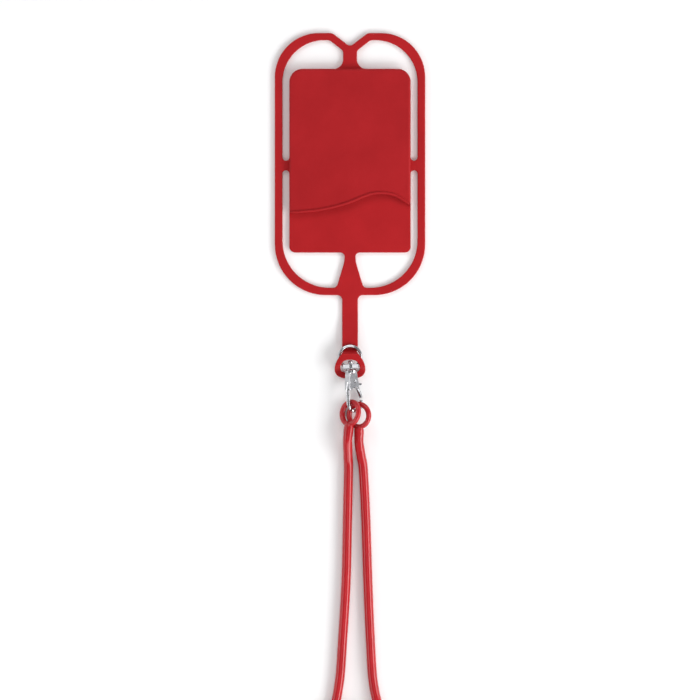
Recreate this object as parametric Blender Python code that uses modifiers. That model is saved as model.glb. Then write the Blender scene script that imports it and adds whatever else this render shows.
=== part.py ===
"""Silicone phone-and-card holder on a neck lanyard.

The holder lies flat on its back: +Y runs to the top of the holder, +Z is up
out of the card pocket, and the neck cord leaves towards -Y.  The origin is
the middle of the flat back of the base plate.

A one-piece silicone moulding (stretch ring, bridges, base plate, neck)
carries a bonded pocket front and ends in a strap with an eyelet.  The eyelet
is hitched through the eye of a swivel snap hook, and the two moulded ring
ends of the round neck cord hang on the hook.
"""
import bpy
import bmesh
from math import atan, cos, hypot, pi, radians, sin, sqrt
from mathutils import Matrix, Vector

MM = 0.001
GAP = 0.3                      # clearance kept between touching pieces

# ---- driving dimensions, millimetres -------------------------------------
CARD_W, CARD_L, CARD_SLOT = 55.0, 88.0, 1.3    # pocket room for one ID-1 card
PLATE_W, PLATE_L = 62.1, 94.0                  # base plate and pocket outline
PLATE_TOP_R, PLATE_END_R = 6.7, 3.0
MOULD_T = 2.0                                  # silicone moulding thickness
FRONT_T = 1.5                                  # pocket front wall
RING_W, RING_TOP, RING_END = 77.0, 65.4, -68.8
SLOT_W = 3.5                                   # gap between plate and ring side
SIDE_BAND, TOP_BAND, END_BAND = 3.8, 3.6, 3.8
V_DEPTH, V_HALF_W = 6.95, 9.05                 # notch in the ring's top
STEM_W = 7.1                                   # web between ring top and plate
BRIDGE_Y, BRIDGE_W = -2.4, 5.0                 # side bridges plate to ring
NECK_W, NECK_FLARE_W = 5.6, 12.6               # web between plate and ring end
STRAP_W, STRAP_T = 8.04, 1.5
FLEX_Y = -73.0                                 # where the strap bends
BEAD_R = 0.7                                   # bead along the pocket mouth

EYE_TOP_Y, EYE_Z = -94.8, 4.65                 # eye wire centre, top of its arc
EYE_TILT, EYE_YAW = radians(1.5), radians(3.4)
EYE_R, EYE_WIRE_R = 5.5, 0.82
EYE_BAR = (9.3, 11.65, 8.2, 1.7)               # from, to, width, thickness
RIVET_HEAD_R, RIVET_R, RIVET_HOLE_R = 1.45, 0.65, 0.95
ROLL = radians(40.3)                           # snap hook turned on its swivel
COLLAR_R = 3.15
HOOK_R, HOOK_CENTRE_U, HOOK_HALF_W, HOOK_END = 1.0, 1.25, 4.3, 33.4
BODY_T = 3.8
GATE_PIVOT = (0.6, -18.3)
PIN_R, GATE_T, GATE_ARM_R = 0.45, 1.3, 0.9

CORD_R = 2.4
RING_R, RING_WIRE_R = 5.75, 1.3
RING_LEFT = dict(at=(0.16, -129.15, 5.85), tilt=radians(44.4), pitch=radians(-8.3))
RING_RIGHT = dict(at=(4.57, -130.4, 4.78), tilt=radians(29.9), pitch=radians(0.1))
CORD_END_DROP = 11.5                           # ring centre to end of its root
LEG_LEFT = [(-0.8, -158.4), (-1.3, -184.0), (-2.0, -214.7), (-3.8, -245.4),
            (-5.6, -268.0), (-9.5, -283.5)]
LEG_RIGHT = [(6.8, -158.4), (8.1, -184.0), (9.1, -214.7), (10.4, -245.4),
             (12.0, -268.0), (15.8, -283.5)]
COIL_AT, COIL_R, COIL_BAND = (3.1, -313.2), 25.0, 5.0


# ---- scene and materials --------------------------------------------------
for old in list(bpy.data.objects):
    bpy.data.objects.remove(old, do_unlink=True)
PARTS = bpy.data.collections.new("lanyard_badge_holder")
CUTTERS = bpy.data.collections.new("cutters")
bpy.context.scene.collection.children.link(PARTS)
bpy.context.scene.collection.children.link(CUTTERS)


def material(name, colour, roughness, metallic=0.0):
    mat = bpy.data.materials.new(name)
    mat.use_nodes = True
    shader = mat.node_tree.nodes["Principled BSDF"]
    shader.inputs["Base Color"].default_value = (*colour, 1.0)
    shader.inputs["Roughness"].default_value = roughness
    shader.inputs["Metallic"].default_value = metallic
    return mat


SILICONE = material("red_silicone", (0.42, 0.02, 0.025), 0.55)
FRONT = material("red_silicone_front", (0.38, 0.02, 0.025), 0.6)
CORD = material("red_cord_silicone", (0.45, 0.015, 0.022), 0.25)
NICKEL = material("nickel_plate", (0.75, 0.75, 0.77), 0.18, 1.0)
STEEL = material("spring_steel", (0.5, 0.5, 0.52), 0.3, 1.0)


# ---- building helpers -----------------------------------------------------
def mm(*values):
    return Vector(values) * MM


def put(obj, mat, parent=None, collection=PARTS):
    """Link an object to its collection, with its material and parent."""
    for old in list(obj.users_collection):
        old.objects.unlink(obj)
    collection.objects.link(obj)
    if mat is not None:
        obj.data.materials.clear()
        obj.data.materials.append(mat)
    if parent is not None:
        obj.parent = parent
    return obj


def empty(name, at, rotation=(0, 0, 0), order="XYZ", parent=None):
    node = bpy.data.objects.new(name, None)
    node.location = at
    node.rotation_mode = order
    node.rotation_euler = rotation
    node.parent = parent
    PARTS.objects.link(node)
    return node


def rounded(corners, step=radians(15)):
    """Closed outline from (x, y, radius) corners, each rounded by an arc."""
    points, count = [], len(corners)
    for i, (x, y, r) in enumerate(corners):
        here = Vector((x, y))
        back = (Vector(corners[i - 1][:2]) - here).normalized()
        ahead = (Vector(corners[(i + 1) % count][:2]) - here).normalized()
        half = back.angle(ahead) / 2
        if r <= 0 or half > pi / 2 - 0.02:
            points.append(here)
            continue
        reach = r / (sin(half) / cos(half))
        centre = here + (back + ahead).normalized() * (r / sin(half))
        start = here + back * reach - centre
        turn = start.angle_signed(here + ahead * reach - centre)
        steps = max(1, round(abs(turn) / step))
        for k in range(steps + 1):
            a = -turn * k / steps
            points.append(centre + Vector((start.x * cos(a) - start.y * sin(a),
                                           start.x * sin(a) + start.y * cos(a))))
    return points


def mirrored(half):
    """Whole outline from the corners on the +X side, listed top to bottom."""
    return half + [(-x, y, r) for x, y, r in reversed(half) if x != 0]


def mesh_from(curve_obj):
    """Replace a curve object by its mesh, with welded caps and outward faces."""
    graph = bpy.context.evaluated_depsgraph_get()
    mesh = bpy.data.meshes.new_from_object(curve_obj.evaluated_get(graph))
    welded = bmesh.new()
    welded.from_mesh(mesh)
    bmesh.ops.remove_doubles(welded, verts=welded.verts, dist=1e-7)
    bmesh.ops.recalc_face_normals(welded, faces=welded.faces)
    welded.to_mesh(mesh)
    welded.free()
    name, frame = curve_obj.name, curve_obj.matrix_world.copy()
    bpy.data.objects.remove(curve_obj, do_unlink=True)
    obj = bpy.data.objects.new(name, mesh)
    obj.matrix_world = frame
    return obj


def plate(name, outlines, low, high):
    """Flat solid between two heights from one outline and its holes."""
    curve = bpy.data.curves.new(name, "CURVE")
    curve.dimensions = "2D"
    curve.fill_mode = "BOTH"
    curve.extrude = (high - low) / 2 * MM
    for outline in outlines:
        spline = curve.splines.new("POLY")
        spline.points.add(len(outline) - 1)
        for point, (x, y) in zip(spline.points, outline):
            point.co = (x * MM, y * MM, 0, 1)
        spline.use_cyclic_u = True
    obj = bpy.data.objects.new(name, curve)
    bpy.context.scene.collection.objects.link(obj)
    bpy.context.view_layer.update()
    obj = mesh_from(obj)
    obj.data.transform(Matrix.Translation(mm(0, 0, (low + high) / 2)))
    return obj


def tube(name, points, radius, resolution=2, closed=False):
    """Round rod along points in millimetres."""
    curve = bpy.data.curves.new(name, "CURVE")
    curve.dimensions = "3D"
    curve.bevel_depth = radius * MM
    curve.bevel_resolution = resolution
    curve.use_fill_caps = True
    spline = curve.splines.new("POLY")
    spline.points.add(len(points) - 1)
    for point, co in zip(spline.points, points):
        point.co = (*(Vector(co) * MM), 1)
    spline.use_cyclic_u = closed
    obj = bpy.data.objects.new(name, curve)
    bpy.context.scene.collection.objects.link(obj)
    bpy.context.view_layer.update()
    return mesh_from(obj)


def turned(name, profile, steps=20):
    """Solid turned about local Z from (radius, z) pairs, top to bottom."""
    mesh = bpy.data.meshes.new(name)
    mesh.from_pydata([(r * MM, 0, z * MM) for r, z in profile],
                     [(i, i + 1) for i in range(len(profile) - 1)], [])
    obj = bpy.data.objects.new(name, mesh)
    screw = obj.modifiers.new("turn", "SCREW")
    screw.steps = screw.render_steps = steps
    screw.use_merge_vertices = True
    screw.merge_threshold = 1e-6
    return obj


def boolean(obj, tool, operation):
    """Keep a live Boolean on obj; the tool stays out of the build."""
    put(tool, None, tool.parent, CUTTERS)
    tool.hide_render = True
    tool.display_type = "WIRE"
    mod = obj.modifiers.new(tool.name, "BOOLEAN")
    mod.operation = operation
    mod.object = tool


def box(name, size, at, parent=None):
    mesh = bpy.data.meshes.new(name)
    cube = bmesh.new()
    bmesh.ops.create_cube(cube, size=1.0)
    bmesh.ops.transform(cube, verts=cube.verts,
                        matrix=Matrix.Translation(mm(*at)) @ Matrix.Diagonal((*mm(*size), 1)))
    cube.to_mesh(mesh)
    cube.free()
    obj = bpy.data.objects.new(name, mesh)
    obj.parent = parent
    return obj


def rod(name, radius, length, matrix, parent=None, segments=16):
    """Cylinder about the matrix's local Z."""
    mesh = bpy.data.meshes.new(name)
    part = bmesh.new()
    bmesh.ops.create_cone(part, cap_ends=True, segments=segments, radius1=radius * MM,
                          radius2=radius * MM, depth=length * MM, matrix=matrix)
    part.to_mesh(mesh)
    part.free()
    obj = bpy.data.objects.new(name, mesh)
    obj.parent = parent
    return obj


def smooth(obj, angle=40):
    obj.data.shade_smooth()
    obj.data.set_sharp_from_angle(angle=radians(angle))
    return obj


def ease(t):
    """Cosine step from 0 to 1, flat at both ends."""
    return (1 - cos(pi * min(1.0, max(0.0, t)))) / 2


# ---- holder: stretch ring, bridges, base plate, neck ----------------------
half_w, half_l = PLATE_W / 2, PLATE_L / 2
ring_x = RING_W / 2
slot_x = half_w + SLOT_W
neck_end = FLEX_Y + STRAP_T / 2 + GAP
inner_top, inner_end = RING_TOP - TOP_BAND, RING_END + END_BAND
bridge_top, bridge_low = BRIDGE_Y + BRIDGE_W / 2, BRIDGE_Y - BRIDGE_W / 2

ring_outline = rounded(mirrored([
    (0, RING_TOP - V_DEPTH, 2.4), (V_HALF_W, RING_TOP, 4.0),
    (ring_x, RING_TOP, 22.5), (ring_x, RING_END, 26.0),
    (STRAP_W / 2, RING_END, 2.6), (STRAP_W / 2, neck_end, 0)]))
top_window = rounded([
    (STEM_W / 2, half_l, 5.0), (half_w, half_l, PLATE_TOP_R),
    (half_w, bridge_top, 1.7), (slot_x, bridge_top, 1.7),
    (slot_x, inner_top, 21.5), (V_HALF_W + 1.5, inner_top, 4.0),
    (STEM_W / 2, RING_TOP - V_DEPTH - 2.1, 2.4)])
end_window = rounded([
    (NECK_W / 2 - 0.2, -half_l, 2.2), (half_w, -half_l, PLATE_END_R),
    (half_w, bridge_low, 1.7), (slot_x, bridge_low, 1.7),
    (slot_x, inner_end, 24.0), (NECK_FLARE_W / 2 + 0.6, inner_end, 2.5),
    (NECK_W / 2 + 0.2, -half_l - 5.0, 8.0)])
windows = [top_window, end_window]
windows += [[Vector((-p.x, p.y)) for p in window] for window in windows]
holder = put(plate("holder_frame", [ring_outline] + windows, 0, MOULD_T), SILICONE)
smooth(holder)

# ---- pocket front, open towards the strap ---------------------------------
MOUTH = [(-half_w, -26.85), (-25.2, -26.65), (-16.1, -25.75), (-7.0, -23.85),
         (0.4, -21.55), (5.85, -19.25), (10.4, -17.65), (15.0, -17.0),
         (20.5, -17.45), (25.05, -19.1), (half_w, -23.2)]


def mouth_curve(points, per_span=4):
    """Smooth line through the mouth's points (Catmull-Rom)."""
    line = []
    ends = [points[0]] + points + [points[-1]]
    for a, b, c, d in zip(ends, ends[1:], ends[2:], ends[3:]):
        for k in range(per_span):
            t = k / per_span
            line.append(tuple(
                0.5 * (2 * q + (r - p) * t + (2 * p - 5 * q + 4 * r - s) * t * t
                       + (3 * q - p - 3 * r + s) * t ** 3)
                for p, q, r, s in zip(a, b, c, d)))
    return line + [points[-1]]


mouth = mouth_curve(MOUTH, 2)
pocket_low = MOULD_T + GAP
pocket_high = MOULD_T + CARD_SLOT + FRONT_T
top_corners = rounded([(half_w, half_l, PLATE_TOP_R), (-half_w, half_l, PLATE_TOP_R),
                       (-half_w, 0, 0), (half_w, 0, 0)])[:-2]
front_outline = [tuple(p) for p in top_corners] + mouth
front = put(plate("pocket_front", [front_outline], pocket_low, pocket_high), FRONT)
card_top = half_l - (PLATE_W - CARD_W) / 2
room = plate("card_room", [rounded([(CARD_W / 2, card_top, 3.2), (-CARD_W / 2, card_top, 3.2),
                                    (-CARD_W / 2, -60, 0), (CARD_W / 2, -60, 0)])],
             pocket_low - 1, MOULD_T + CARD_SLOT)
boolean(front, room, "DIFFERENCE")
lip = [(x, y + BEAD_R) for x, y in mouth[1:-1]] + [(x, y - BEAD_R) for x, y in reversed(mouth[1:-1])]
bead = plate("mouth_bead", [lip], pocket_high - 0.8, pocket_high + BEAD_R)
boolean(front, bead, "UNION")
smooth(front)

# ---- tail strap and eyelet, hitched through the swivel eye ----------------
MID = STRAP_T / 2
UNDER_EYE = EYE_Z - EYE_WIRE_R - GAP - MID - 0.1
OVER_EYE = EYE_Z + EYE_WIRE_R + GAP + MID + 0.3


def strap_height(p):
    """Middle of the strap at distance p past the eye's top arc."""
    rest = MID + (UNDER_EYE - MID) * ease((p + 19) / 18)
    climb = (OVER_EYE - UNDER_EYE) * ease((p - 1.9) / 2.7)
    drop = (OVER_EYE - MID) * ease((p - 9.3) / 4.2)
    return rest + climb - drop


def strap_half_thickness(p):
    slope = (strap_height(p + 0.05) - strap_height(p - 0.05)) / 0.1
    return MID / max(cos(atan(slope)), 0.62)


strap_end = EYE_TOP_Y - 17.2
stations = [FLEX_Y - 0.01 - k * 3.0 for k in range(6)]
stations += [EYE_TOP_Y + 4.0, EYE_TOP_Y + 1.5, EYE_TOP_Y - 0.5]
stations += [EYE_TOP_Y - 1.3 - 0.4 * k for k in range(14)]
stations += [EYE_TOP_Y - 8.2, EYE_TOP_Y - 9.2]
stations += [EYE_TOP_Y - 9.7 - 0.45 * k for k in range(10)]
stations += [EYE_TOP_Y - 15.5, strap_end]
sheet = bmesh.new()
grid = bmesh.ops.create_grid(sheet, x_segments=4, y_segments=len(stations) - 1, size=0.5)
for v in sheet.verts:
    row = round((0.5 - v.co.y) * (len(stations) - 1))
    y = stations[row]
    v.co = mm(v.co.x * 18.0, y, strap_height(EYE_TOP_Y - y))
top = bmesh.ops.extrude_face_region(sheet, geom=sheet.faces[:])
raised = {v for v in top["geom"] if isinstance(v, bmesh.types.BMVert)}
for v in sheet.verts:
    lift = strap_half_thickness(EYE_TOP_Y - v.co.y / MM)
    v.co.z += (lift if v in raised else -lift) * MM
bmesh.ops.recalc_face_normals(sheet, faces=sheet.faces)
slab = bpy.data.meshes.new("tail_strap")
sheet.to_mesh(slab)
sheet.free()
flex = empty("strap_flex_axis", mm(0, FLEX_Y, MID))
strap = put(bpy.data.objects.new("tail_strap", slab), SILICONE)
strap.location = mm(0, -FLEX_Y, -MID)
strap.parent = flex


def past(p):
    return EYE_TOP_Y - p


half_strap = STRAP_W / 2
strap_half_outline = [
    (half_strap, FLEX_Y - 0.02, 0), (half_strap, past(0.4), 3), (3.2, past(2.6), 2),
    (3.8, past(4.1), 1.5), (5.4, past(5.2), 3.0), (7.6, past(9.4), 4.0),
    (8.1, past(13.2), 3.3), (5.4, past(16.9), 4.5)]
strap_outline = rounded(strap_half_outline + [(-x, y, r) for x, y, r in reversed(strap_half_outline)])
eyelet_half = [(2.2, past(7.0), 2.0), (4.9, past(9.2), 2.0), (4.9, past(12.4), 2.0),
               (2.6, past(13.7), 1.5)]
eyelet_hole = rounded(eyelet_half + [(-x, y, r) for x, y, r in reversed(eyelet_half)])
strap_shape = plate("strap_outline", [strap_outline, eyelet_hole], -2, 12)
strap_shape.parent = flex
strap_shape.location = mm(0, -FLEX_Y, -MID)
boolean(strap, strap_shape, "INTERSECT")
nose = rod("strap_nose", STRAP_T / 2, STRAP_W, Matrix.Rotation(pi / 2, 4, "Y"), flex)
boolean(strap, nose, "UNION")
smooth(strap)

# ---- swivel eye -----------------------------------------------------------
# Local frame of the eye and snap hook: -Y runs from the eye to the hook.
eye_axis = empty("swivel_eye_axis", mm(-0.25, EYE_TOP_Y, EYE_Z),
                 (-EYE_TILT, 0, EYE_YAW), "YXZ", None)
bar_from, bar_to, bar_w, bar_t = EYE_BAR
loop = [(EYE_R * cos(a), -EYE_R + EYE_R * sin(a), 0)
        for a in (2 * pi * k / 40 for k in range(40))]
eye = put(tube("swivel_eye", loop, EYE_WIRE_R, 2, closed=True), NICKEL, eye_axis)
boolean(eye, box("eye_bar", (bar_w, bar_to - bar_from, bar_t), (0, -(bar_from + bar_to) / 2, 0),
                 eye_axis), "UNION")
along = Matrix.Rotation(pi / 2, 4, "X")
boolean(eye, box("eye_bottom_trim", (14, 4, 6), (0, -bar_to - 2, 0), eye_axis), "DIFFERENCE")
boolean(eye, rod("eye_bore", RIVET_HOLE_R, 8, Matrix.Translation(mm(0, -bar_to + 1, 0)) @ along,
                 eye_axis, 12), "DIFFERENCE")
smooth(eye)

# ---- snap hook: rivet, body, pin, gate, spring ----------------------------
clasp_axis = empty("clasp_swivel_axis", (0, 0, 0), (0, ROLL, 0), parent=eye_axis)
collar_from, collar_to = bar_to + GAP, 14.2
rivet = put(turned("swivel_rivet", [
    (0, -bar_from + 2.0), (1.0, -bar_from + 1.9), (RIVET_HEAD_R, -bar_from + 1.3),
    (RIVET_HEAD_R, -bar_from + GAP), (RIVET_R, -bar_from + GAP),
    (RIVET_R, -15.2), (0, -15.2)], 16), NICKEL, clasp_axis)
rivet.rotation_euler = (-pi / 2, 0, 0)

half_t = BODY_T / 2
body_outline = rounded([
    (-2.4, -collar_to + 0.6, 0.3), (2.4, -collar_to + 0.6, 0.3), (2.7, -17.0, 3),
    (3.5, -20.0, 2), (2.6, -22.0, 0.7), (0.1, -21.0, 0.8), (-1.6, -22.6, 1.0),
    (-3.3, -22.6, 0.8), (-2.8, -17.0, 3)])
clasp = put(plate("clasp_body", [body_outline], -half_t, half_t), NICKEL, clasp_axis)
soften = clasp.modifiers.new("edge", "BEVEL")
soften.width, soften.segments, soften.limit_method = 0.45 * MM, 1, "ANGLE"
soften.angle_limit = radians(50)
collar = turned("clasp_collar", [
    (0, -collar_from), (2.3, -collar_from), (COLLAR_R, -collar_from - 0.7),
    (COLLAR_R, -collar_to + 0.5), (2.5, -collar_to - 0.2), (0, -collar_to - 0.2)], 20)
collar.rotation_euler = (-pi / 2, 0, 0)
collar.parent = clasp_axis
boolean(clasp, collar, "UNION")
bend_v = HOOK_END - HOOK_HALF_W
left_u = HOOK_CENTRE_U - HOOK_HALF_W
hook_path = [(-2.2, -18.5, 0), (-2.7, -21.0, 0), (left_u, -23.5, 0), (left_u, -26.5, 0)]
hook_path += [(HOOK_CENTRE_U - HOOK_HALF_W * cos(a), -bend_v - HOOK_HALF_W * sin(a), 0)
              for a in (pi * k / 16 for k in range(17))]
hook_path[-1] = (HOOK_CENTRE_U + HOOK_HALF_W, -28.0, 0)
hook = tube("clasp_hook", hook_path, HOOK_R, 2)
hook.parent = clasp_axis
boolean(clasp, hook, "UNION")
boolean(clasp, rod("collar_bore", RIVET_HOLE_R, 8, Matrix.Translation(mm(0, -11.6, 0)) @ along,
                   clasp_axis, 12), "DIFFERENCE")
pivot_u, pivot_y = GATE_PIVOT
boolean(clasp, box("gate_slot", (7.2, 7.0, GATE_T + 2 * GAP), (2.0, -20.1, 0), clasp_axis), "DIFFERENCE")
pivot_at = Matrix.Translation(mm(pivot_u, pivot_y, 0))
boolean(clasp, rod("pin_bore", PIN_R + GAP, 6, pivot_at, clasp_axis, 12), "DIFFERENCE")
smooth(clasp)

pin = put(rod("gate_pin", PIN_R, BODY_T + 0.2, Matrix(), clasp_axis), STEEL)
pin.location = mm(pivot_u, pivot_y, 0)

gate_axis = empty("gate_axis", mm(pivot_u, pivot_y, 0), parent=clasp_axis)
gate_outline = rounded([(-1.25, 1.25, 1.1), (1.25, 1.25, 1.1), (2.9, -1.0, 1.0), (3.9, -3.6, 1.0),
                        (2.6, -4.6, 0.5), (1.3, -1.9, 0.6), (-1.25, -1.15, 0.9)])
gate = put(plate("gate_lever", [gate_outline], -GATE_T / 2, GATE_T / 2), NICKEL, gate_axis)
gate_arm = tube("gate_arm", [(2.9, -3.6, 0), (3.7, -5.0, 0), (4.3, -6.3, 0), (4.75, -7.6, 0),
                             (4.8, -8.5, 0)], GATE_ARM_R, 2)
gate_arm.parent = gate_axis
boolean(gate, gate_arm, "UNION")
knob = tube("gate_knob", [(2.4, -1.6, 0), (4.2, -1.5, 0), (5.6, -1.5, 0)], 0.6, 2)
knob.parent = gate_axis
boolean(gate, knob, "UNION")
boolean(gate, rod("gate_bore", PIN_R + GAP, 6, Matrix(), gate_axis, 12), "DIFFERENCE")
smooth(gate)

SPRING_R, SPRING_WIRE, SPRING_TURNS = 0.42, 0.11, 4
spring_from, spring_to, spring_v = -1.2, 0.7, 20.5
spring = put(tube("gate_spring", [
    (spring_from + (spring_to - spring_from) * k / (SPRING_TURNS * 8),
     -spring_v + SPRING_R * cos(2 * pi * k / 8), SPRING_R * sin(2 * pi * k / 8))
    for k in range(SPRING_TURNS * 8 + 1)], SPRING_WIRE, 0), STEEL, clasp_axis)


# ---- neck cord ------------------------------------------------------------
def ring_frame(spec):
    """Frame of a ring end: local X across, Y towards the hook, Z its normal."""
    a, p = spec["tilt"], spec["pitch"]
    across = Vector((cos(a), 0, sin(a)))
    normal = across.cross(Vector((0, 1, 0)))
    ahead = Vector((0, 1, 0)) * cos(p) + normal * sin(p)
    frame = Matrix((across, ahead, across.cross(ahead))).transposed().to_4x4()
    frame.translation = mm(*spec["at"])
    return frame


def ring_end(name, spec):
    frame = ring_frame(spec)
    loop = [(RING_R * cos(2 * pi * k / 32), RING_R * sin(2 * pi * k / 32), 0) for k in range(32)]
    ring = put(tube(name, loop, RING_WIRE_R, 2, closed=True), CORD)
    ring.matrix_world = frame
    root = turned(name + "_root", [(0, -RING_R + 0.4), (1.0, -RING_R + 0.3), (CORD_R + 0.25, -RING_R - 3.0),
                                   (CORD_R, -CORD_END_DROP), (0, -CORD_END_DROP)], 12)
    root.matrix_world = frame @ Matrix.Rotation(-pi / 2, 4, "X")
    boolean(ring, root, "UNION")
    return smooth(ring), frame


def leg(name, frame, route):
    """Round cord from a ring's root to the coil, resting at cord height."""
    start = frame @ mm(0, -CORD_END_DROP - GAP, 0) / MM
    ahead = (frame.to_3x3() @ Vector((0, -1, 0))).normalized()
    through = [start, start + ahead * 2.5]
    through.append((through[1] + Vector((*route[0], 0))) / 2)
    through[2].z = CORD_R + 0.4 * (start.z - CORD_R)
    through += [Vector((x, y, CORD_R)) for x, y in route]
    smooth_line = []
    ends = [start - ahead * 2.5] + through + [2 * through[-1] - through[-2]]
    for a, b, c, d in zip(ends, ends[1:], ends[2:], ends[3:]):
        steps = max(2, round((c - b).length / (5.0 * CORD_R)))
        for k in range(steps):
            t = k / steps
            smooth_line.append(0.5 * (2 * b + (c - a) * t + (2 * a - 5 * b + 4 * c - d) * t * t
                                      + (3 * b - a - 3 * c + d) * t ** 3))
    smooth_line.append(through[-1])
    smooth_line[1] = start + ahead * (smooth_line[1] - start).length
    for point in smooth_line:
        point.z = max(point.z, CORD_R)
    return smooth(put(tube(name, smooth_line, CORD_R, 2), CORD))


ring_left, left_frame = ring_end("ring_end_left", RING_LEFT)
ring_right, right_frame = ring_end("ring_end_right", RING_RIGHT)
leg("cord_leg_left", left_frame, LEG_LEFT)
leg("cord_leg_right", right_frame, LEG_RIGHT)
band = COIL_BAND
coil = put(turned("cord_coil", [
    (COIL_R - band + 1.5, 9.6), (COIL_R + band - 1.5, 9.6), (COIL_R + band, 7.6), (COIL_R + band, 2.0),
    (COIL_R + band - 1.5, 0), (COIL_R - band + 1.5, 0), (COIL_R - band, 2.0), (COIL_R - band, 7.6),
    (COIL_R - band + 1.5, 9.6)], 40), CORD)
coil.location = mm(*COIL_AT, 0)
smooth(coil)
bpy.context.view_layer.update()
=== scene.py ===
"""Looks of a silicone phone-and-card holder on a neck lanyard.

Written in millimetres and turned into metres on the way into Blender, in the
CAD's frame: +Y runs to the top of the holder, +Z is up out of the pocket and
the object lies on the floor at z = 0.
"""
from math import atan, cos, pi, radians, sin, sqrt

import bmesh
import bpy
from mathutils import Matrix, Vector


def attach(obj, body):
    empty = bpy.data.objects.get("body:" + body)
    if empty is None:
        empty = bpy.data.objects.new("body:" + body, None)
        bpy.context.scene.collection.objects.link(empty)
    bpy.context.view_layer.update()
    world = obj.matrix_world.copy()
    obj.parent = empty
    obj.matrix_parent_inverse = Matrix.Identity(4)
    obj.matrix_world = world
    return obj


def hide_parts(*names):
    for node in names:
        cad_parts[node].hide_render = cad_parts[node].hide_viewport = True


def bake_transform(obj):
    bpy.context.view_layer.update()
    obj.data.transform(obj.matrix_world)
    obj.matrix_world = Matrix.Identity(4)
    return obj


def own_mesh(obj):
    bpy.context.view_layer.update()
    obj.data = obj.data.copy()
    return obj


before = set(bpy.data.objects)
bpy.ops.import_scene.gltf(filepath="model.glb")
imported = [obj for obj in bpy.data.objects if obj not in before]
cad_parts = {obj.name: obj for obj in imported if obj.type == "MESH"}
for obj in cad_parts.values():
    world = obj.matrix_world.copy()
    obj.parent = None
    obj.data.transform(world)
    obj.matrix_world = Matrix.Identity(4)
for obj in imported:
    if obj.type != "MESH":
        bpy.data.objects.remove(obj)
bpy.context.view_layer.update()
MM = 0.001
SCENE = bpy.context.scene

# ---- the CAD's driving dimensions, millimetres ----------------------------
PLATE_W, PLATE_L, PLATE_TOP_R, PLATE_END_R = 62.1, 94.0, 6.7, 3.0
MOULD_T, CARD_W, CARD_SLOT, FRONT_T = 2.0, 55.0, 1.3, 1.5
RING_W, RING_TOP, RING_END, SLOT_W = 77.0, 65.4, -68.8, 3.5
TOP_BAND, END_BAND = 3.6, 3.8
V_DEPTH, V_HALF_W, STEM_W = 6.95, 9.05, 7.1
BRIDGE_Y, BRIDGE_W, NECK_W, NECK_FLARE_W = -2.4, 5.0, 5.6, 12.6
STRAP_W, STRAP_T = 8.04, 1.5
EYE_TOP_Y, EYE_Z, EYE_WIRE_R, GAP = -94.8, 4.65, 0.82, 0.3
CORD_R, RING_R, RING_WIRE_R, CORD_END_DROP = 2.4, 5.75, 1.38, 11.5
RING_LEFT = dict(at=(0.16, -129.15, 5.85), tilt=radians(44.4), pitch=radians(-8.3))
RING_RIGHT = dict(at=(4.57, -130.4, 4.78), tilt=radians(29.9), pitch=radians(0.1))
LEG_LEFT = [(-0.8, -158.4), (-1.3, -184.0), (-2.0, -214.7), (-3.8, -245.4),
            (-5.6, -268.0), (-9.5, -283.5)]
LEG_RIGHT = [(6.8, -158.4), (8.1, -184.0), (9.1, -214.7), (10.4, -245.4),
             (12.0, -268.0), (15.8, -283.5)]
COIL_AT, COIL_R = (3.1, -313.2), 25.0
EYE_TILT, EYE_YAW, ROLL = radians(1.5), radians(3.4), radians(40.3)
SPRING_SPAN, SPRING_V = (-1.2, 0.7), -20.5
MOUTH = [(-31.05, -26.85), (-25.2, -26.65), (-16.1, -25.75), (-7.0, -23.85),
         (0.4, -21.55), (5.85, -19.25), (10.4, -17.65), (15.0, -17.0),
         (20.5, -17.45), (25.05, -19.1), (31.05, -23.2)]

# ---- camera ---------------------------------------------------------------
FRAME_MM, CAMERA_UP, AIM_Y, SENSOR = 358.4, 3000.0, -96.9, 36.0
camera_data = bpy.data.cameras.new("camera")
camera_data.sensor_width = SENSOR
camera_data.lens = SENSOR * (CAMERA_UP - MOULD_T) / FRAME_MM
camera_data.clip_end = 20.0
camera = bpy.data.objects.new("camera", camera_data)
camera.location = (0, AIM_Y * MM, CAMERA_UP * MM)
SCENE.collection.objects.link(camera)
SCENE.camera = camera


# ---- building helpers -----------------------------------------------------
def mm(*values):
    return Vector(values) * MM


def link(obj):
    SCENE.collection.objects.link(obj)
    return obj


def applied(obj, weld=1e-7):
    """The object's evaluated mesh in place of the object, welded and facing out."""
    bpy.context.view_layer.update()
    graph = bpy.context.evaluated_depsgraph_get()
    mesh = bpy.data.meshes.new_from_object(obj.evaluated_get(graph))
    clean = bmesh.new()
    clean.from_mesh(mesh)
    bmesh.ops.remove_doubles(clean, verts=clean.verts, dist=weld)
    bmesh.ops.recalc_face_normals(clean, faces=clean.faces)
    clean.to_mesh(mesh)
    clean.free()
    name, place = obj.name, obj.matrix_world.copy()
    bpy.data.objects.remove(obj, do_unlink=True)
    result = link(bpy.data.objects.new(name, mesh))
    result.matrix_world = place
    return result


def rounded(corners, step=radians(5)):
    """Closed outline from (x, y, radius) corners, each rounded by an arc."""
    points, count = [], len(corners)
    for i, (x, y, r) in enumerate(corners):
        here = Vector((x, y))
        back = (Vector(corners[i - 1][:2]) - here).normalized()
        ahead = (Vector(corners[(i + 1) % count][:2]) - here).normalized()
        half = back.angle(ahead) / 2
        if r <= 0 or half > pi / 2 - 0.02:
            points.append(here)
            continue
        reach = r / (sin(half) / cos(half))
        centre = here + (back + ahead).normalized() * (r / sin(half))
        start = here + back * reach - centre
        turn = start.angle_signed(here + ahead * reach - centre)
        steps = max(1, round(abs(turn) / step))
        for k in range(steps + 1):
            a = -turn * k / steps
            points.append(centre + Vector((start.x * cos(a) - start.y * sin(a),
                                           start.x * sin(a) + start.y * cos(a))))
    return points


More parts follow.
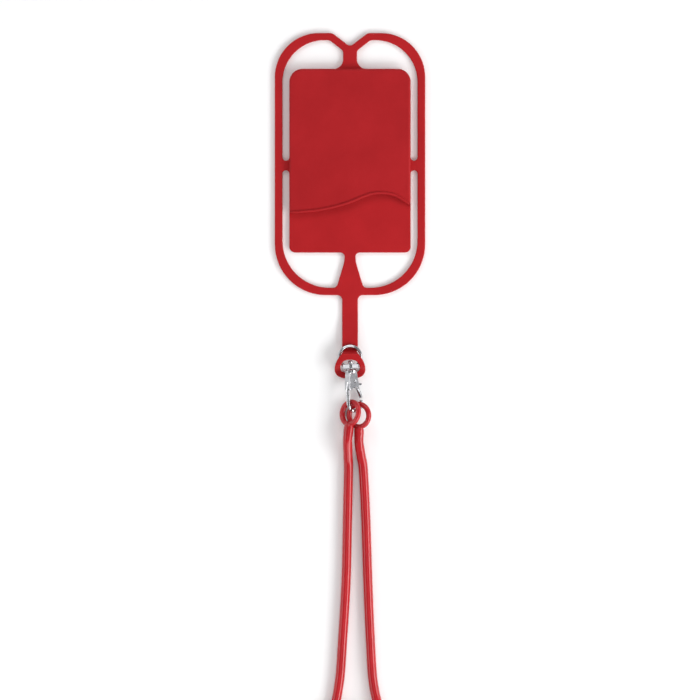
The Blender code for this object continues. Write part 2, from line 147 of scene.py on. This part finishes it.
def mirrored(half):
    """Corners of the right half, then of the left half."""
    return half + [(-x, y, r) for x, y, r in reversed(half) if x != 0]


def catmull(points, spans, ends=None):
    """Smooth line through points; spans is the steps a stretch (int) or their length."""
    first, last = ends or (points[0], points[-1])
    chain = [Vector(p) for p in [first, *points, last]]
    line = []
    for a, b, c, d in zip(chain, chain[1:], chain[2:], chain[3:]):
        steps = spans if isinstance(spans, int) else max(2, round((c - b).length / spans))
        for k in range(steps):
            t = k / steps
            line.append(0.5 * (2 * b + (c - a) * t + (2 * a - 5 * b + 4 * c - d) * t * t
                               + (3 * b - a - 3 * c + d) * t ** 3))
    return line + [chain[-2]]


def plate(name, outlines, low, high, edge, resolution=3):
    """Flat moulding with rounded edges from one outline and its holes."""
    curve = bpy.data.curves.new(name, "CURVE")
    curve.dimensions = "2D"
    curve.fill_mode = "BOTH"
    curve.extrude = ((high - low) / 2 - edge) * MM
    curve.bevel_depth = edge * MM
    curve.bevel_resolution = resolution
    curve.offset = -edge * MM
    for outline in outlines:
        spline = curve.splines.new("POLY")
        spline.points.add(len(outline) - 1)
        for point, (x, y) in zip(spline.points, outline):
            point.co = (x * MM, y * MM, 0, 1)
        spline.use_cyclic_u = True
    obj = applied(link(bpy.data.objects.new(name, curve)))
    obj.data.transform(Matrix.Translation(mm(0, 0, (low + high) / 2)))
    return obj


def tube_curve(name, points, radius, closed=False, resolution=6, radii=None):
    """Round tube along points; radii are shares of the radius."""
    curve = bpy.data.curves.new(name, "CURVE")
    curve.dimensions = "3D"
    curve.bevel_depth = radius * MM
    curve.bevel_resolution = resolution
    curve.use_fill_caps = not closed
    spline = curve.splines.new("POLY")
    spline.points.add(len(points) - 1)
    for k, (point, co) in enumerate(zip(spline.points, points)):
        point.co = (*(Vector(co) * MM), 1)
        if radii:
            point.radius = radii[k]
    spline.use_cyclic_u = closed
    spline.use_smooth = True
    return link(bpy.data.objects.new(name, curve))


def joined(name, objects):
    """One mesh object from several."""
    whole = bmesh.new()
    for obj in objects:
        part = obj.data.copy()
        part.transform(obj.matrix_world)
        whole.from_mesh(part)
        bpy.data.objects.remove(obj, do_unlink=True)
    mesh = bpy.data.meshes.new(name)
    whole.to_mesh(mesh)
    whole.free()
    return link(bpy.data.objects.new(name, mesh))


def fused(obj, voxel, smoothing):
    """Voxel remesh, then melt the edges as casting or moulding does."""
    grid = obj.modifiers.new("fuse", "REMESH")
    grid.mode = "VOXEL"
    grid.voxel_size = voxel * MM
    grid.use_smooth_shade = True
    melt = obj.modifiers.new("melt", "SMOOTH")
    melt.factor, melt.iterations = 0.5, smoothing
    obj = applied(obj)
    obj.data.shade_smooth()
    return obj


def soft_shade(obj, angle):
    """Smooth shading that keeps edges sharper than the angle, in degrees."""
    obj.data.shade_smooth()
    obj.data.set_sharp_from_angle(angle=radians(angle))
    flat = obj.modifiers.new("weighted_normals", "WEIGHTED_NORMAL")
    flat.keep_sharp = True


def ease(t):
    """Smooth step from 0 to 1."""
    return (1 - cos(pi * min(1.0, max(0.0, t)))) / 2


# ---- materials ------------------------------------------------------------
class Look:
    """A Principled material with object-space noise to build on."""

    def __init__(self, name, **sockets):
        self.mat = bpy.data.materials.new(name)
        self.mat.use_nodes = True
        self.tree = self.mat.node_tree
        self.shader = self.tree.nodes["Principled BSDF"]
        for socket, value in sockets.items():
            self.shader.inputs[socket.replace("_", " ")].default_value = value
        self.place = self.add("ShaderNodeTexCoord").outputs["Object"]

    def add(self, kind, **settings):
        node = self.tree.nodes.new(kind)
        for key, value in settings.items():
            setattr(node, key, value)
        return node

    def wire(self, source, target):
        self.tree.links.new(source, target)

    def noise(self, scale, detail=3.0, rough=0.5, stretch=None):
        node = self.add("ShaderNodeTexNoise")
        node.inputs["Scale"].default_value = scale
        node.inputs["Detail"].default_value = detail
        node.inputs["Roughness"].default_value = rough
        source = self.place
        if stretch:
            mapping = self.add("ShaderNodeMapping")
            mapping.inputs["Scale"].default_value = stretch
            self.wire(source, mapping.inputs["Vector"])
            source = mapping.outputs["Vector"]
        self.wire(source, node.inputs["Vector"])
        return node.outputs["Fac"]

    def ramp(self, source, low, high, start=0.3, end=0.7):
        """Colour from low to high as source goes from start to end."""
        node = self.add("ShaderNodeValToRGB")
        stops = node.color_ramp.elements
        stops[0].position, stops[1].position = start, end
        stops[0].color, stops[1].color = (*low, 1), (*high, 1)
        self.wire(source, node.inputs["Fac"])
        return node.outputs["Color"]

    def spread(self, source, low, high, start=0.3, end=0.7):
        """Number from low to high as source goes from start to end."""
        node = self.add("ShaderNodeMapRange")
        for key, value in (("From Min", start), ("From Max", end),
                           ("To Min", low), ("To Max", high)):
            node.inputs[key].default_value = value
        self.wire(source, node.inputs["Value"])
        return node.outputs["Result"]

    def mix(self, factor, fixed, linked):
        """Colour from a fixed one to a linked one as factor goes from 0 to 1."""
        node = self.add("ShaderNodeMix", data_type="RGBA")
        first, second = [socket for socket in node.inputs if socket.type == "RGBA"]
        self.wire(factor, node.inputs["Factor"])
        first.default_value = (*fixed, 1)
        self.wire(linked, second)
        return next(socket for socket in node.outputs if socket.type == "RGBA")

    def bump(self, source, strength, distance, under=None):
        node = self.add("ShaderNodeBump")
        node.inputs["Strength"].default_value = strength
        node.inputs["Distance"].default_value = distance
        self.wire(source, node.inputs["Height"])
        if under is not None:
            self.wire(under, node.inputs["Normal"])
        return node.outputs["Normal"]

    def use(self, **links):
        for socket, source in links.items():
            self.wire(source, self.shader.inputs[socket.replace("_", " ")])
        return self.mat


def silicone_look(name, dark, light, rough_low, rough_high):
    """Matte moulded silicone: soft clouding, fine blasted grain, slight waviness."""
    look = Look(name, Subsurface_Weight=0.06, Subsurface_Scale=0.0012,
                Specular_IOR_Level=0.2)
    look.shader.inputs["Subsurface Radius"].default_value = (1.0, 0.25, 0.2)
    cloud = look.noise(55, 4.0, 0.6)
    grain = look.noise(4200, 2.0, 0.6)
    wave = look.noise(160, 2.0, 0.5)
    normal = look.bump(grain, 0.22, 0.00004, look.bump(wave, 0.25, 0.0003))
    return look.use(Base_Color=look.ramp(cloud, dark, light, 0.32, 0.68),
                    Roughness=look.spread(look.noise(700, 3.0), rough_low, rough_high),
                    Normal=normal)


def cord_look():
    """Extruded glossy silicone, with faint draw lines along its length."""
    look = Look("cord_silicone", Specular_IOR_Level=0.42, Coat_Weight=0.12,
                Coat_Roughness=0.06)
    cloud = look.noise(90, 3.0)
    draw = look.noise(900, 2.0, 0.5, (1.0, 0.03, 1.0))
    wave = look.noise(260, 2.0)
    normal = look.bump(draw, 0.03, 0.00005, look.bump(wave, 0.05, 0.0001))
    return look.use(Base_Color=look.ramp(cloud, (0.40, 0.0065, 0.0115), (0.47, 0.0095, 0.0155)),
                    Roughness=look.spread(look.noise(1500, 2.0), 0.15, 0.22),
                    Normal=normal)


def metal_look(name, dark, light, rough_low, rough_high, ripple, painted_hollow_shade=None):
    """Plated metal: faint clouding and cast ripple, with painted shade where the surface is
    hollow.
    """
    look = Look(name, Metallic=1.0)
    cast_ripple = look.noise(900, 3.0, 0.55)
    pits = look.noise(5200, 2.0, 0.6)
    normal = look.bump(pits, 0.04, 0.00002, look.bump(cast_ripple, ripple, 0.0001))
    colour = look.ramp(look.noise(420, 4.0, 0.6), dark, light)
    # painted shade: where pointiness is low (hollows, creases) the colour blends to a
    # near-black one
    if painted_hollow_shade:
        pointiness = look.add("ShaderNodeNewGeometry").outputs["Pointiness"]
        colour = look.mix(look.spread(pointiness, 0, 1, 0.43, 0.5), painted_hollow_shade, colour)
    return look.use(Base_Color=colour,
                    Roughness=look.spread(look.noise(1300, 3.0), rough_low, rough_high),
                    Normal=normal)


SILICONE = silicone_look("moulded_silicone", (0.375, 0.0065, 0.0095),
                         (0.425, 0.009, 0.0125), 0.46, 0.58)
FRONT = silicone_look("pocket_silicone", (0.345, 0.0058, 0.0088),
                      (0.392, 0.0082, 0.0117), 0.5, 0.62)
CORD = cord_look()
# The nickel's and the gate's last colour is the painted shade of their hollows.
NICKEL = metal_look("polished_nickel", (0.40, 0.405, 0.425), (0.58, 0.58, 0.6),
                    0.06, 0.13, 0.12, (0.07, 0.075, 0.085))
# The gate is the same plating as the hook, given darker colours: painted shade for its inner
# side, which lies in shadow.
SHADED_GATE_METAL = metal_look("gate_metal_painted_shade", (0.17, 0.173, 0.182), (0.34, 0.34, 0.352),
                  0.12, 0.22, 0.25, (0.05, 0.052, 0.06))
STEEL = metal_look("spring_steel", (0.38, 0.38, 0.40), (0.55, 0.55, 0.57), 0.2, 0.34, 0.1)


def dress(obj, look, body=None, replaces=()):
    """Give a piece its material, body and the CAD nodes it stands for."""
    obj.data.materials.clear()
    obj.data.materials.append(look)
    if body:
        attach(obj, body)
    if replaces:
        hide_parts(*replaces)
    return obj


# ---- neck cord ------------------------------------------------------------
# The coil has two lanes side by side and two layers. Its turns are told by angle
# in degrees: where the cord comes in and goes out, and where it changes lane.
LOW, HIGH = CORD_R, 3 * CORD_R
OUTER, INNER = COIL_R + CORD_R, COIL_R - CORD_R
ENTRY, EXIT, TURN_STEP = 140, 1480, 5
INWARD, INWARD_DONE = 468, 500                 # low layer, beside the incoming leg
UPWARD, UPWARD_SPAN = 790, 50                  # inner lane
OUTWARD, OUTWARD_SPAN = 1130, 55               # high layer
TIE_AT, TIE_LIFT, TIE_SPREAD = 270, 0.9, 38.0  # room under the coil for its tie
LEAVE_RUN, LEAVE_Z = 9.0, 7.05                 # first point after the coil
DESCENT = (2.4, 4.5)                           # the right leg's last two heights
ROOT_START, LEG_START, LINE_STEP = 0.6, 3.0, 2.0
# A ring end's root: distance past the ring's centre line, and share of its radius.
ROOT = [(-0.9, 0.45), (-0.3, 0.72), (0.5, 0.92), (1.6, 1.02), (3.0, 1.03), (4.4, 1.01)]
ROOT_EXTRA_R, RING_STEPS = 0.08, 72


def ring_frame(spec):
    """Frame of a ring end: local X across, Y towards the hook, Z its normal."""
    a, p = spec["tilt"], spec["pitch"]
    across = Vector((cos(a), 0, sin(a)))
    normal = across.cross(Vector((0, 1, 0)))
    ahead = Vector((0, 1, 0)) * cos(p) + normal * sin(p)
    place = Matrix((across, ahead, across.cross(ahead))).transposed().to_4x4()
    place.translation = mm(*spec["at"])
    return place


def leg_line(place, route):
    """A leg from its ring's root to its last point before the coil."""
    start = place @ mm(0, -CORD_END_DROP + ROOT_START, 0) / MM
    ahead = (place.to_3x3() @ Vector((0, -1, 0))).normalized()
    through = [start, start + ahead * LEG_START]
    through.append((through[1] + Vector((*route[0], 0))) / 2)
    through[2].z = CORD_R + 0.4 * (start.z - CORD_R)
    return through + [Vector((x, y, CORD_R)) for x, y in route]


def coil_point(angle):
    """The cord's centre at a turn angle: low outer, low inner, high inner, high outer."""
    r, z = OUTER, LOW
    if angle >= INWARD_DONE:
        r = INNER
    elif angle >= INWARD:
        r = max(INNER, OUTER / cos(radians(INWARD_DONE - angle)) - 2 * CORD_R)
    if angle >= UPWARD:
        z = LOW + (HIGH - LOW) * ease((angle - UPWARD) / UPWARD_SPAN)
    if angle >= OUTWARD:
        r = INNER + (OUTER - INNER) * ease((angle - OUTWARD) / OUTWARD_SPAN)
    off = (angle - TIE_AT + 180) % 360 - 180
    z += TIE_LIFT * ease(1 - abs(off) / TIE_SPREAD)
    a = radians(angle)
    return Vector((COIL_AT[0] + r * cos(a), COIL_AT[1] + r * sin(a), z))


left_frame, right_frame = ring_frame(RING_LEFT), ring_frame(RING_RIGHT)
leg_left, leg_right = leg_line(left_frame, LEG_LEFT), leg_line(right_frame, LEG_RIGHT)
leg_right[-2].z, leg_right[-1].z = DESCENT
turns = (EXIT - ENTRY) // TURN_STEP
coil = [coil_point(ENTRY + TURN_STEP * k) for k in range(turns + 1)]
leaving = coil[-1] + Vector((-sin(radians(EXIT)), cos(radians(EXIT)), 0)) * LEAVE_RUN
leaving.z = LEAVE_Z
route = catmull(leg_left + coil[:1], LINE_STEP,
                (leg_left[0] * 2 - leg_left[1], coil[1]))[:-1]
route += coil
route += catmull([coil[-1], leaving] + leg_right[::-1], LINE_STEP,
                 (coil[-2], leg_right[0] * 2 - leg_right[1]))[1:]
for point in route:
    point.z = max(point.z, CORD_R)
cord_length = sum((b - a).length for a, b in zip(route, route[1:]))
cord = tube_curve("neck_cord", route, CORD_R, resolution=7)
dress(cord, CORD, "neck_cord",
      ("cord_leg_left", "cord_leg_right", "cord_coil"))


def ring_end(name, place):
    """Moulded ring with its tapered root, melted into one."""
    angles = [2 * pi * k / RING_STEPS for k in range(RING_STEPS)]
    loop = [(RING_R * cos(a), RING_R * sin(a), 0) for a in angles]
    ring = applied(tube_curve(name, loop, RING_WIRE_R, closed=True, resolution=5))
    spine = [(0, -RING_R - far, 0) for far, _ in ROOT] + [(0, -CORD_END_DROP, 0)]
    root = applied(tube_curve(name + "_root", spine, CORD_R + ROOT_EXTRA_R, resolution=7,
                              radii=[share for _, share in ROOT] + [1.0]))
    whole = fused(joined(name, [ring, root]), 0.16, 14)
    whole.name = name + "_moulded"
    whole.data.transform(place)
    return dress(whole, CORD, "neck_cord", (name,))


def coil_tie():
    """Silicone band round the coil where its turns are lifted."""
    reach, thick, half = 2 * CORD_R + 0.05, 0.75, 2.6
    low, high = TIE_LIFT - thick + 0.02, HIGH + CORD_R + TIE_LIFT + 0.05
    inner, outer = COIL_R - reach, COIL_R + reach
    loop = rounded([(inner, low + thick, CORD_R), (outer, low + thick, CORD_R),
                    (outer, high, CORD_R), (inner, high, CORD_R)], radians(9))
    profile = rounded([(-half, 0, 0.3), (half, 0, 0.3), (half, thick, 0.3),
                       (-half, thick, 0.3)], radians(30))
    band = bmesh.new()
    rows, count = [], len(loop)
    for i, here in enumerate(loop):
        along = (loop[(i + 1) % count] - loop[i - 1]).normalized()
        out = Vector((along.y, -along.x))
        rows.append([band.verts.new(mm(COIL_AT[0] + w, COIL_AT[1] - (here.x + out.x * t),
                                       here.y + out.y * t)) for w, t in profile])
    for i, row in enumerate(rows):
        after = rows[(i + 1) % count]
        for j in range(len(profile)):
            k = (j + 1) % len(profile)
            band.faces.new((row[j], row[k], after[k], after[j]))
    bmesh.ops.recalc_face_normals(band, faces=band.faces)
    mesh = bpy.data.meshes.new("cord_tie")
    band.to_mesh(mesh)
    band.free()
    tie = link(bpy.data.objects.new("cord_tie", mesh))
    tie.data.shade_smooth()
    return dress(tie, SILICONE, "neck_cord")


rings = [ring_end("ring_end_left", left_frame), ring_end("ring_end_right", right_frame)]
tie = coil_tie()

# ---- silicone moulding: stretch ring, plate, neck, strap and eyelet -------
half_w, half_l, ring_x = PLATE_W / 2, PLATE_L / 2, RING_W / 2
slot_x = half_w + SLOT_W
inner_top, inner_end = RING_TOP - TOP_BAND, RING_END + END_BAND
bridge_top, bridge_low = BRIDGE_Y + BRIDGE_W / 2, BRIDGE_Y - BRIDGE_W / 2

# The eyelet's outside and its hole, as (half width, distance past the eye's top).
EYELET = [(4.02, 3.6), (4.62, 4.55), (5.6, 5.8), (6.6, 7.4), (7.4, 9.3), (7.85, 11.3),
          (7.75, 13.1), (6.9, 14.8), (5.4, 15.9), (3.2, 16.55), (0, 16.75)]
EYELET_HOLE = [(0, 7.05), (2.0, 7.3), (3.7, 8.25), (4.75, 9.9), (4.95, 11.5),
               (4.3, 12.9), (2.5, 13.6), (0, 13.8)]
EYELET_FROM = 3.5
MOULD_EDGE = 0.5

# The strap's middle under and over the eye's wire, and where it changes height:
# first distance past the eye's top, and the length that it takes.
MID = STRAP_T / 2
UNDER_EYE = EYE_Z - EYE_WIRE_R - GAP - MID - 0.1
OVER_EYE = EYE_Z + EYE_WIRE_R + GAP + MID + 0.3
RISE, CLIMB, DROP = (-19, 18), (1.9, 2.7), (9.3, 4.2)
# From the moulding's flat to the strap's own line and thickness.
LAID_BELOW_Y, LAY_START, LAY_RUN, STEEPEST_COS = -68.0, -69.0, 12.0, 0.62


def past(p):
    return EYE_TOP_Y - p


def both_sides(line):
    return line + [Vector((-p.x, p.y)) for p in reversed(line) if abs(p.x) > 1e-6]


def half_curve(pairs):
    return [p.xy for p in catmull([(w, past(d), 0) for w, d in pairs], 5)]


def strap_height(p):
    """Middle of the strap at distance p past the eye's top arc."""
    rest = MID + (UNDER_EYE - MID) * ease((p - RISE[0]) / RISE[1])
    climb = (OVER_EYE - UNDER_EYE) * ease((p - CLIMB[0]) / CLIMB[1])
    drop = (OVER_EYE - MID) * ease((p - DROP[0]) / DROP[1])
    return rest + climb - drop


def lay_strap(obj):
    """Cut the strap across and lay it through the eye as the CAD's strap lies."""
    work = bmesh.new()
    work.from_mesh(obj.data)
    cuts = [-66.0 - 0.5 * k for k in range(30)]             # round the bend's line
    cuts += [-81.0 - 1.0 * k for k in range(14)]            # plain strap
    cuts += [past(0.3 + 0.3 * k) for k in range(56)]        # through the eye
    for y in cuts:
        bmesh.ops.bisect_plane(work, geom=work.verts[:] + work.edges[:] + work.faces[:],
                               plane_co=mm(0, y, 0), plane_no=(0, 1, 0), dist=1e-8)
    for v in work.verts:
        y = v.co.y / MM
        if y < LAID_BELOW_Y:
            p = EYE_TOP_Y - y
            slope = (strap_height(p + 0.05) - strap_height(p - 0.05)) / 0.1
            across = v.co.z / MM - MOULD_T / 2
            share = ease((LAY_START - y) / LAY_RUN)
            level = max(cos(atan(slope)), STEEPEST_COS)
            thin = 1 + (STRAP_T / MOULD_T / level - 1) * share
            middle = MOULD_T / 2 + (strap_height(p) - MOULD_T / 2) * share
            v.co.z = (middle + across * thin) * MM
    work.to_mesh(obj.data)
    work.free()


body_corners = rounded(mirrored([
    (0, RING_TOP - V_DEPTH, 2.4), (V_HALF_W, RING_TOP, 4.0),
    (ring_x, RING_TOP, 22.5), (ring_x, RING_END, 26.0), (STRAP_W / 2, RING_END, 2.6),
    (STRAP_W / 2, past(1.5), 1.2), (3.45, past(2.5), 1.0), (3.95, past(EYELET_FROM), 0)]))
split = next(i for i, p in enumerate(body_corners) if abs(p.y - past(EYELET_FROM)) < 1e-4)
body_outline = (body_corners[:split + 1] + both_sides(half_curve(EYELET))
                + body_corners[split + 1:])
top_window = rounded([
    (STEM_W / 2, half_l, 5.0), (half_w, half_l, PLATE_TOP_R),
    (half_w, bridge_top, 1.7), (slot_x, bridge_top, 1.7),
    (slot_x, inner_top, 21.5), (V_HALF_W + 1.5, inner_top, 4.0),
    (STEM_W / 2, RING_TOP - V_DEPTH - 2.1, 2.4)])
end_window = rounded([
    (NECK_W / 2 - 0.2, -half_l, 2.2), (half_w, -half_l, PLATE_END_R),
    (half_w, bridge_low, 1.7), (slot_x, bridge_low, 1.7),
    (slot_x, inner_end, 24.0), (NECK_FLARE_W / 2 + 0.6, inner_end, 2.5),
    (NECK_W / 2 + 0.2, -half_l - 5.0, 8.0)])
eyelet_hole = both_sides(half_curve(EYELET_HOLE))
windows = [top_window, end_window]
windows += [[Vector((-p.x, p.y)) for p in window] for window in windows]

moulding = plate("silicone_moulding", [body_outline, eyelet_hole] + windows,
                 0, MOULD_T, MOULD_EDGE)
lay_strap(moulding)
soft_shade(moulding, 50)
dress(moulding, SILICONE, None, ("holder_frame", "tail_strap"))
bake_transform(moulding)

# ---- pocket front with its card slot and beaded mouth ---------------------
POCKET_LOW, POCKET_EDGE = 0.3, 1.15
ROOM_LOW, ROOM_END, ROOM_EDGE, ROOM_R = -1.0, -60, 0.2, 3.2
BEAD_R, BEAD_BACK, BEAD_SUNK, BEAD_TAPER = 0.74, 0.5, 0.05, 3

pocket_high = MOULD_T + CARD_SLOT + FRONT_T
mouth = [tuple(p) for p in catmull([(x, y, 0) for x, y in MOUTH], 6)]
top_corners = rounded([(half_w, half_l, PLATE_TOP_R), (-half_w, half_l, PLATE_TOP_R),
                       (-half_w, 0, 0), (half_w, 0, 0)])[:-2]
front_outline = [tuple(p) for p in top_corners] + [p[:2] for p in mouth]
pocket = plate("card_pocket", [front_outline], POCKET_LOW, pocket_high, POCKET_EDGE, 5)
card_top, card_x = half_l - (PLATE_W - CARD_W) / 2, CARD_W / 2
card_outline = rounded([(card_x, card_top, ROOM_R), (-card_x, card_top, ROOM_R),
                        (-card_x, ROOM_END, 0), (card_x, ROOM_END, 0)])
room = plate("card_room", [card_outline], ROOM_LOW, MOULD_T + CARD_SLOT, ROOM_EDGE, 1)
hollow = pocket.modifiers.new("room", "BOOLEAN")
hollow.operation, hollow.object, hollow.solver = "DIFFERENCE", room, "EXACT"
pocket = applied(pocket)
bpy.data.objects.remove(room, do_unlink=True)
soft_shade(pocket, 40)
dress(pocket, FRONT, "holder", ("pocket_front",))

bead_line = [(x, y + BEAD_BACK, pocket_high - BEAD_SUNK) for x, y, _ in mouth[1:-1]]
last = len(bead_line) - 1
bead_radii = [min(1.0, 0.35 + 0.65 * sqrt(min(k, last - k) / BEAD_TAPER))
              for k in range(last + 1)]
bead = applied(tube_curve("mouth_bead", bead_line, BEAD_R, resolution=5, radii=bead_radii))
bead.data.shade_smooth()
dress(bead, FRONT, "holder")


# ---- metal: die-cast eye, rivet, snap hook and gate -----------------------
SPRING_TURNS, SPRING_STEPS, SPRING_R, SPRING_WIRE_R = 4, 24, 0.42, 0.1


def cast(node, body, voxel, smoothing, look=NICKEL):
    """A CAD node's shape with its edges melted as a polished casting has them."""
    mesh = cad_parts[node].data.copy()
    piece = fused(link(bpy.data.objects.new(node + "_cast", mesh)), voxel, smoothing)
    dress(piece, look, body, (node,))


def gate_spring():
    """Wound spring behind the gate, at its rest length."""
    clasp_place = (Matrix.Translation(mm(-0.25, EYE_TOP_Y, EYE_Z))
                   @ Matrix.Rotation(EYE_YAW, 4, "Z") @ Matrix.Rotation(-EYE_TILT, 4, "X")
                   @ Matrix.Rotation(ROLL, 4, "Y"))
    start, end = SPRING_SPAN
    count = SPRING_TURNS * SPRING_STEPS
    wire = []
    for k in range(count + 1):
        a = 2 * pi * k / SPRING_STEPS
        wire.append((start + (end - start) * k / count, SPRING_V + SPRING_R * cos(a),
                     SPRING_R * sin(a)))
    spring = applied(tube_curve("gate_spring_wound", wire, SPRING_WIRE_R, resolution=3))
    spring.data.transform(clasp_place)
    spring.data.shade_smooth()
    dress(spring, STEEL, "snap_hook", ("gate_spring",))
    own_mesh(spring)


cast("swivel_eye", "strap", 0.11, 6)
cast("swivel_rivet", "snap_hook", 0.09, 4)
cast("clasp_body", "snap_hook", 0.11, 5)
cast("gate_lever", "gate", 0.10, 5, SHADED_GATE_METAL)
dress(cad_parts["gate_pin"], STEEL)
gate_spring()


# ---- floor, light ---------------------------------------------------------
def floor():
    mesh = bpy.data.meshes.new("floor")
    mesh.from_pydata([(-4, -4, 0), (4, -4, 0), (4, 4, 0), (-4, 4, 0)], [], [(0, 1, 2, 3)])
    look = Look("pale_floor", Roughness=0.9, Specular_IOR_Level=0.1)
    look.use(Base_Color=look.ramp(look.noise(6, 3.0), (0.93, 0.93, 0.93), (0.95, 0.95, 0.95)))
    mesh.materials.append(look.mat)
    link(bpy.data.objects.new("floor", mesh))


def softbox(name, azimuth, elevation, distance, size, power):
    """Area light aimed at the holder; azimuth 0 is +X and 90 is +Y."""
    lamp = bpy.data.lights.new(name, "AREA")
    lamp.shape, lamp.size, lamp.size_y, lamp.energy = "RECTANGLE", size[0], size[1], power
    obj = link(bpy.data.objects.new(name, lamp))
    a, e = radians(azimuth), radians(elevation)
    way = Vector((cos(a) * cos(e), sin(a) * cos(e), sin(e)))
    obj.location = Vector((0, AIM_Y * MM, 0)) + way * distance
    obj.rotation_mode = "QUATERNION"
    obj.rotation_quaternion = way.to_track_quat("Z", "Y")


def studio_sky(horizon, overhead, overhead_from):
    """Pale surroundings that darken from the horizon to overhead."""
    world = bpy.data.worlds.new("studio")
    world.use_nodes = True
    sky = world.node_tree
    back = sky.nodes["Background"]
    aim = sky.nodes.new("ShaderNodeTexCoord")
    height = sky.nodes.new("ShaderNodeSeparateXYZ")
    fade = sky.nodes.new("ShaderNodeValToRGB")
    stops = fade.color_ramp.elements
    stops[0].position, stops[1].position = 0.0, overhead_from
    stops[0].color, stops[1].color = (*horizon, 1), (*overhead, 1)
    sky.links.new(aim.outputs["Generated"], height.inputs["Vector"])
    sky.links.new(height.outputs["Z"], fade.inputs["Fac"])
    sky.links.new(fade.outputs["Color"], back.inputs["Color"])
    back.inputs["Strength"].default_value = 1.0
    SCENE.world = world


floor()
softbox("right_side", -22, 32, 1.5, (1.9, 0.7), 23)
softbox("left_low", 176, 26, 2.2, (2.2, 0.7), 12)
softbox("zenith", 0, 89.9, 3.5, (0.9, 0.9), 3.4)
softbox("far_side", 100, 44, 2.4, (1.8, 0.9), 12)
softbox("near_side", -80, 44, 2.0, (1.8, 0.9), 10)
studio_sky((0.78, 0.78, 0.79), (0.24, 0.24, 0.245), 0.75)
SCENE.view_settings.view_transform = "Standard"

print("cord length", round(cord_length, 1))
